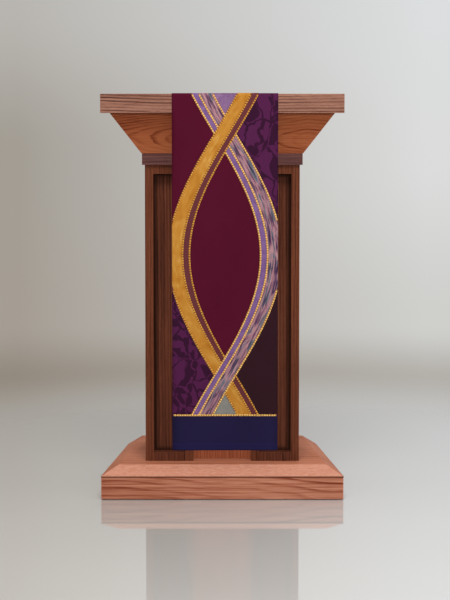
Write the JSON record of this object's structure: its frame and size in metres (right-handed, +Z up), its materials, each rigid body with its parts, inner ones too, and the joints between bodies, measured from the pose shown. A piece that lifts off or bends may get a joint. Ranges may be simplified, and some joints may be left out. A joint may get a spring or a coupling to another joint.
{
  "type": "wooden pulpit",
  "caption": "Free-standing wooden pulpit: bevelled base narrower at the back, panelled column with an open back and shelves, flared crown, sloping reading desk and a long hanging cloth.",
  "frame": {"origin": "middle of the footprint, on the floor", "axes": "+Z up; the front with the hanging cloth looks towards -Y and the open back towards +Y; +X is on the right of a person facing the front"},
  "size_m": [0.708, 0.472, 1.1818],
  "materials": {
    "slab_oak": "satin",
    "crown_oak": "satin",
    "collar_walnut": "satin",
    "post_walnut": "satin",
    "panel_walnut": "satin",
    "centre_oak": "satin",
    "base_cherry": "satin",
    "inner_wood": "matt",
    "parament_fabric": "woven",
    "weight_brass": "brushed",
    "screw_steel": "zinc plated",
    "glide_plastic": "matt"
  },
  "bodies": {
    "root": {"base_glides": "glide_plastic", "base_screws": "screw_steel", "base_skirt_front": "base_cherry", "base_skirt_left": "base_cherry", "base_skirt_rear": "base_cherry", "base_skirt_right": "base_cherry", "base_top_board": "base_cherry", "book_stop": "slab_oak", "centre_panel": "centre_oak", "cleat_screws": "screw_steel", "collar_front": "collar_walnut", "collar_left": "collar_walnut", "collar_rear": "collar_walnut", "collar_right": "collar_walnut", "collar_screws": "screw_steel", "crown_front": "crown_oak", "crown_left": "crown_oak", "crown_right": "crown_oak", "desk_cleat": "inner_wood", "desk_front_rail": "slab_oak", "desk_left_rail": "slab_oak", "desk_rear_rail": "slab_oak", "desk_right_rail": "slab_oak", "left_base_bearer": "inner_wood", "left_corner_stile": "post_walnut", "left_front_base_block": "inner_wood", "left_inner_stile": "post_walnut", "left_post_bottom_rail": "post_walnut", "left_post_panel": "panel_walnut", "left_post_top_rail": "post_walnut", "left_rear_base_block": "inner_wood", "left_rear_stile": "post_walnut", "left_shelf_cleat": "inner_wood", "left_side_bottom_rail": "post_walnut", "left_side_panel": "panel_walnut", "left_side_top_rail": "post_walnut", "middle_shelf": "inner_wood", "parament_cloth": "parament_fabric", "parament_weight_bar": "weight_brass", "reading_board": "slab_oak", "rear_bottom_rail": "post_walnut", "rear_top_rail": "post_walnut", "right_base_bearer": "inner_wood", "right_corner_stile": "post_walnut", "right_front_base_block": "inner_wood", "right_inner_stile": "post_walnut", "right_post_bottom_rail": "post_walnut", "right_post_panel": "panel_walnut", "right_post_top_rail": "post_walnut", "right_rear_base_block": "inner_wood", "right_rear_stile": "post_walnut", "right_shelf_cleat": "inner_wood", "right_side_bottom_rail": "post_walnut", "right_side_panel": "panel_walnut", "right_side_top_rail": "post_walnut", "upper_shelf": "inner_wood"}
  },
  "joints": []
}
